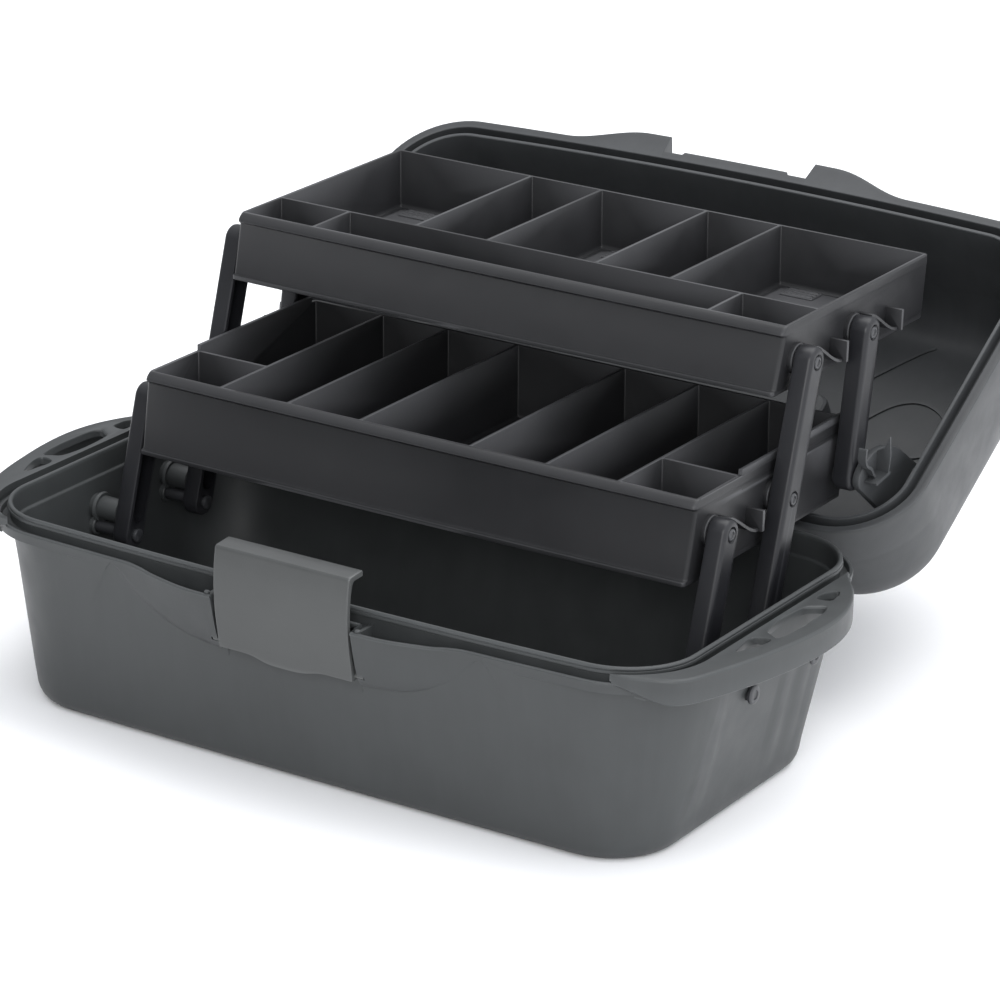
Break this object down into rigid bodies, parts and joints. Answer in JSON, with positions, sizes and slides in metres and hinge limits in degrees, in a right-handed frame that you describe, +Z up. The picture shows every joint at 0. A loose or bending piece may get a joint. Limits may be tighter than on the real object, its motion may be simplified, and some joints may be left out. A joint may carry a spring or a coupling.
{
  "type": "art supply box",
  "caption": "Open hinged plastic storage box with cantilever trays on swing arms, lattice end grips and a front snap latch",
  "frame": {"origin": "centre of the flat underside of the base", "axes": "+Z up, -Y is the latch side (front), +X is to the right seen from the front; the lid is tipped back towards +Y"},
  "size_m": [0.3638, 0.3589, 0.1797],
  "materials": {
    "base_shell": "satin moulded polypropylene, mid grey, fine grain",
    "lid_shell": "satin moulded polypropylene, dark grey",
    "tray": "semi-matte moulded polypropylene, charcoal",
    "arm": "satin moulded plastic, dark grey",
    "latch": "satin moulded plastic, lighter grey",
    "pin": "moulded plastic pivot pins",
    "steel": "plain steel rod"
  },
  "bodies": {
    "base": {"base_bin": "base_shell", "base_pin_front_left": "pin", "base_pin_front_right": "pin", "base_pin_rear_left": "pin", "base_pin_rear_right": "pin", "lid_hinge_pin_left": "steel", "lid_hinge_pin_right": "steel"},
    "lid": {"lid_shell": "lid_shell", "handle_pin_left": "steel", "handle_pin_right": "steel"},
    "handle": {"carry_handle": "latch"},
    "latch": {"front_latch": "latch"},
    "short_arm_left": {"short_arm_left": "arm"},
    "short_arm_right": {"short_arm_right": "arm"},
    "long_arm_left": {"long_arm_left": "arm"},
    "long_arm_right": {"long_arm_right": "arm"},
    "lower_tray": {"lower_tray": "tray", "lower_tray_pin_front_left": "pin", "lower_tray_pin_front_right": "pin", "lower_tray_pin_rear_left": "pin", "lower_tray_pin_rear_right": "pin"},
    "upper_tray": {"upper_tray": "tray", "upper_tray_pin_front_left": "pin", "upper_tray_pin_front_right": "pin", "upper_tray_pin_rear_left": "pin", "upper_tray_pin_rear_right": "pin"},
    "rear_link_left": {"rear_link_left": "arm", "cam_pin_left": "pin"},
    "rear_link_right": {"rear_link_right": "arm", "cam_pin_right": "pin"}
  },
  "joints": [
    {"name": "lid_hinge", "type": "hinge", "parent": "base", "child": "lid", "pos_m": [0, 0.09, 0.0793], "axis": [1, 0, 0], "range_deg": [0, 148]},
    {"name": "latch_hinge", "type": "hinge", "parent": "base", "child": "latch", "pos_m": [0, -0.0902, 0.058], "axis": [1, 0, 0], "range_deg": [0, 80]},
    {"name": "handle_pivot", "type": "hinge", "parent": "lid", "child": "handle", "pos_m": [0, 0.18974, 0.0697], "axis": [-1, 0, 0], "range_deg": [0, 90]},
    {"name": "short_arm_pivot_left", "type": "hinge", "parent": "base", "child": "short_arm_left", "pos_m": [-0.1343, -0.0124, 0.0545], "axis": [1, 0, 0], "range_deg": [-0.5, 72.3]},
    {"name": "long_arm_pivot_left", "type": "hinge", "parent": "base", "child": "long_arm_left", "pos_m": [-0.1343, 0.0356, 0.0545], "axis": [1, 0, 0], "range_deg": [-0.5, 72.3]},
    {"name": "short_arm_pivot_right", "type": "hinge", "parent": "base", "child": "short_arm_right", "pos_m": [0.1343, -0.0124, 0.0545], "axis": [1, 0, 0], "range_deg": [-0.5, 72.3]},
    {"name": "long_arm_pivot_right", "type": "hinge", "parent": "base", "child": "long_arm_right", "pos_m": [0.1343, 0.0356, 0.0545], "axis": [1, 0, 0], "range_deg": [-0.5, 72.3]},
    {"name": "lower_tray_pivot", "type": "hinge", "parent": "long_arm_left", "child": "lower_tray", "pos_m": [-0.1343, 0.05107, 0.10915], "axis": [1, 0, 0], "range_deg": [-72.3, 0.5]},
    {"name": "upper_tray_pivot", "type": "hinge", "parent": "long_arm_left", "child": "upper_tray", "pos_m": [-0.1343, 0.06563, 0.16063], "axis": [1, 0, 0], "range_deg": [-72.3, 0.5]},
    {"name": "rear_link_pivot_left", "type": "hinge", "parent": "upper_tray", "child": "rear_link_left", "pos_m": [-0.1343, 0.11163, 0.16063], "axis": [1, 0, 0], "range_deg": [-0.5, 69.02]},
    {"name": "rear_link_pivot_right", "type": "hinge", "parent": "upper_tray", "child": "rear_link_right", "pos_m": [0.1343, 0.11163, 0.16063], "axis": [1, 0, 0], "range_deg": [-0.5, 69.02]}
  ],
  "couplings": [
    {"joint": "short_arm_pivot_left", "follows": "lid_hinge", "ratio": 0.48513},
    {"joint": "long_arm_pivot_left", "follows": "lid_hinge", "ratio": 0.48513},
    {"joint": "short_arm_pivot_right", "follows": "lid_hinge", "ratio": 0.48513},
    {"joint": "long_arm_pivot_right", "follows": "lid_hinge", "ratio": 0.48513},
    {"joint": "lower_tray_pivot", "follows": "lid_hinge", "ratio": -0.48513},
    {"joint": "upper_tray_pivot", "follows": "lid_hinge", "ratio": -0.48513},
    {"joint": "rear_link_pivot_left", "follows": "lid_hinge", "ratio": 0.46296},
    {"joint": "rear_link_pivot_right", "follows": "lid_hinge", "ratio": 0.46296}
  ]
}
